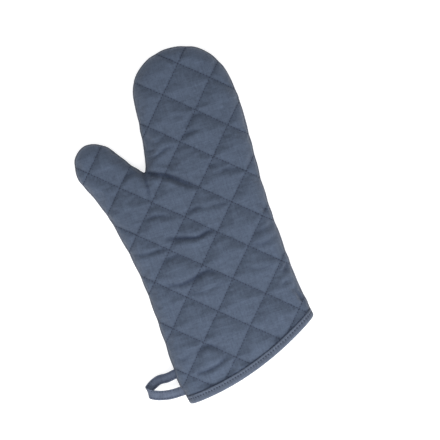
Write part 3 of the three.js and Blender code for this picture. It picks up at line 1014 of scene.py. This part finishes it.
stations = mouth_stations(1.4)
stations = stations[: len(stations) // 2 * 2]  # an even number, because every other ring is stitched
rings, tone = [], []
for i, place in enumerate(stations):
    stitched = i % 2  # the stitch pulls the tape in
    pull = 0.34 * stitched + 0.3 * noise_at(i * 0.09, 4.2, 0)
    slide = 0.3 * noise_at(i * 0.06, 9.1, 2.0)
    ring = []
    for depth, row in BINDING_SECTION:
        near = math.exp(-(((row - 5.0) / 1.5) ** 2)) if depth < 1.1 or depth > 6.8 else 0.0
        inwards = 1 if depth < 4 else -1
        ring.append(place(max(0.1, depth + inwards * near * pull), row + slide * (0.3 + 0.7 * (row > 6))))
        # tone is painted shade where a stitch pulls the tape in and a painted highlight on the rings between,
        # with a slight paling overall.
        tone.append(near * (0.5 if stitched else -0.9) - 0.1)
    rings.append(np.array(ring))
middles = [ring[MIDDLE_POINT] for ring in rings]
lengths = np.cumsum([0] + [np.linalg.norm(b - a) for a, b in zip(middles, middles[1:])])
girth = np.cumsum([0] + [math.dist(a, b) for a, b in zip(BINDING_SECTION, BINDING_SECTION[1:])])
uv = np.array([(s, g) for s in lengths for g in girth])
swept("cuff_tape", rings, TAPE, uv, tone, closed=True)

places = []
for depth, out in TOPSTITCH_DEPTHS:
    for i in range(1, len(stations), 2):
        before, here, after = (stations[j % len(stations)] for j in (i - 1, i, i + 1))
        mid = here(depth, TOPSTITCH_ROW)
        along = after(depth, TOPSTITCH_ROW) - before(depth, TOPSTITCH_ROW)
        up = (here(depth - 1, TOPSTITCH_ROW) - mid) * out
        places.append((mid - up * 0.05, unit(along), unit(up)))
stitches("cuff_stitches", places, length=1.8, radius=0.52)


# ---- the hang loop ----
LOOP_PATH = [
    (-66.5, 16.8, 8), (-70.9, 16.5, 8), (-78.5, 15.3, 5.4), (-87, 15.5, 2.6), (-94, 13, 2.4), (-100, 9, 5.4),
    (-99, 5.7, 9.6), (-92.5, 2.2, 11.2), (-83, -0.4, 10.6), (-76, -1.1, 9.2), (-70.4, -1.1, 8), (-66.5, -1.2, 8),
]
LOOP_WIDTH, LOOP_THICK, LOOP_CORNERS = 10.0, 1.6, 20
EDGE_STITCH = 0.34  # its stitching's place across it, as a share of the width
SEW_PITCH = 2.6
path = respaced(centripetal(LOOP_PATH, 20), 1.0)
path_way = unit(np.gradient(path, axis=0))


def loop_frame(i):
    """Across the loop's tape, and out of its face."""
    y = np.array([0.0, 1.0, 0.0])
    side = unit(y - path_way[i] * np.dot(y, path_way[i]))
    return side, np.cross(side, path_way[i])


section = []
for k in range(LOOP_CORNERS):
    c, s = math.cos(2 * math.pi * k / LOOP_CORNERS), math.sin(2 * math.pi * k / LOOP_CORNERS)
    section.append((math.copysign(abs(c) ** 0.35, c) * 0.5, math.copysign(abs(s) ** 0.7, s) * 0.5))
rings, tone = [], []
for i, p in enumerate(path):
    side, out = loop_frame(i)
    width = LOOP_WIDTH * (0.93 + 0.04 * noise_at(i * 0.11, 0.7, 5))
    # Painted shade: the leg that lies low is darker.
    low_leg_shade = 0.3 * (1 - smoothstep(i, 18, 34))  # the leg that lies low is the darker
    ring = []
    for u, w in section:
        stitched = math.exp(-(((abs(u) - EDGE_STITCH) / 0.06) ** 2))
        ring.append(p + side * u * width + out * (w * (1 - 0.22 * stitched)) * LOOP_THICK)
        # tone is painted shade along the edge stitching's groove and on the low leg, with a slight paling
        # overall.
        tone.append(0.3 * stitched - 0.1 + low_leg_shade)
    rings.append(np.array(ring))
uv = np.array([(i * 1.0, k * 1.15) for i in range(len(path)) for k in range(LOOP_CORNERS)])
swept("hanging_loop", rings, LOOP_TAPE, uv, tone)

places = []
for face in (1, -1):
    for u in (-EDGE_STITCH, EDGE_STITCH):
        edge = []
        for i, p in enumerate(path):
            side, out = loop_frame(i)
            edge.append(p + side * u * LOOP_WIDTH * 0.93 + out * face * LOOP_THICK * 0.40)
        even = respaced(np.array(edge)[4:-4], SEW_PITCH)
        for a, b in zip(even, even[1:]):
            mid = (a + b) / 2
            _, out = loop_frame(int(np.argmin(np.linalg.norm(path - mid, axis=1))))
            places.append((mid + out * face * 0.05, unit(b - a), out * face))
stitches("loop_stitches", places, length=1.8, radius=0.28)


# ---- which pieces stand for which CAD parts, and which ride on the hand ----
FOLD_Z = 20
ROOT_END = SEAM_CROTCH + THUMB_AXIS * THUMB_BEND
FOLDS = {
    "fingers": ((0, FINGER_FOLD_Y - FINGER_BEND, FOLD_Z), (0, FINGER_FOLD_Y + FINGER_BEND, FOLD_Z)),
    "thumb": ((*SEAM_CROTCH, FOLD_Z), (*ROOT_END, FOLD_Z)),
    "loop": ((-68.5, 8, 8), (-75, 8, 8)),
}


def bends(piece, body, *nodes):
    """Bakes the piece's placement into its mesh and hides those CAD nodes, which it stands for. The body's fold
    ends are looked up but not used.
    """
    start, end = to_row(FOLDS[body])
    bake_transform(PIECES[piece])
    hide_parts(*nodes)


def rides_on_hand(piece, node):
    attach(PIECES[piece], "hand")
    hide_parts(node)


LAYERS = {
    "quilted_palm": ("palm_cloth", "outer_cloth"),
    "palm_batting": ("palm_wadding", "wadding"),
    "palm_inner_cloth": ("palm_lining", "lining_cloth"),
    "plain_back": ("back_cloth", "outer_cloth"),
    "back_batting": ("back_wadding", "wadding"),
    "back_inner_cloth": ("back_lining", "lining_cloth"),
}
for layer, (node, slot) in LAYERS.items():
    bends(f"{layer}_main", "fingers", f"{node}_hand", f"{node}_fingers")
    bends(f"{layer}_thumb", "thumb", f"{node}_thumb")
    for part in PARTS:
        if slot == "wadding":
            continue

bends(
    "quilting_stitches_main", "fingers",
    "quilting_hand_net", "quilting_fingers_net", "quilting_fingers_end_run_1",
)
bends("quilting_stitches_thumb", "thumb", "quilting_thumb_net", "quilting_thumb_end_run_1")
bends(
    "seam_edge_fingers_round", "fingers",
    "side_seam_fingers", "side_seam_crotch", "side_seam_little_finger_side",
)
bends("seam_edge_thumb_round", "thumb", "side_seam_thumb")
rides_on_hand("seam_edge_thumb_side", "side_seam_thumb_side")
rides_on_hand("cuff_tape", "cuff_binding")
rides_on_hand("cuff_stitches", "cuff_topstitching")
bends("hanging_loop", "loop", "hang_loop")
bends("loop_stitches", "loop", "hang_loop_stitching")
for name in PIECES:
    "stitches" in name or "seam_edge" in name


# ---- floor, light and camera ----
def floor(reach=4.0, z=-0.0004):
    mesh = bpy.data.meshes.new("floor")
    corners = [(-reach, -reach, z), (reach, -reach, z), (reach, reach, z), (-reach, reach, z)]
    mesh.from_pydata(corners, [], [(0, 1, 2, 3)])
    n = Nodes("pale_floor")
    n.look(
        Base_Color=(0.6, 0.6, 0.6, 1),
        Roughness=0.9,
        Specular_IOR_Level=0.1,
        Emission_Color=(1, 1, 1, 1),  # the photo's ground is pure white right up to the mitt
        Emission_Strength=0.7,
    )
    mesh.materials.append(n.material)
    add_object("floor", mesh)


def area_light(name, place, target, size, power):
    data = bpy.data.lights.new(name, "AREA")
    data.shape, data.size, data.energy = "SQUARE", size, power
    obj = add_object(name, data)
    obj.location = place
    obj.rotation_euler = (Vector(target) - Vector(place)).to_track_quat("-Z", "Y").to_euler()


floor()
world = bpy.data.worlds.new("studio")
world.use_nodes = True
background = world.node_tree.nodes["Background"].inputs
background["Color"].default_value = (1, 1, 1, 1)
background["Strength"].default_value = 0.58
bpy.context.scene.world = world
area_light("key", (0.1, -0.77, 0.7), (0, 0.03, 0), 0.72, 11.0)
area_light("fill", (-1.2, 1.3, 1.7), (0, 0, 0), 1.8, 7)
bpy.context.scene.view_settings.view_transform = "Standard"

AIM = (16.5, 144.0)  # the middle of the frame, in the mitt's axes
LEAN = math.radians(18)
HEIGHT = 2500
FOCUS_Z = 12  # the height at which a pixel is exactly MM_PER_PIXEL
MM_PER_PIXEL, FRAME_PIXELS, SENSOR_MM = 0.96, 440, 36
camera = bpy.data.cameras.new("camera")
camera.sensor_width = SENSOR_MM
camera.lens = SENSOR_MM * (HEIGHT - FOCUS_Z) / (FRAME_PIXELS * MM_PER_PIXEL)
eye = add_object("camera", camera)
eye.location = to_row((*AIM, HEIGHT))
eye.rotation_euler = (0, 0, -LEAN)
bpy.context.scene.camera = eye
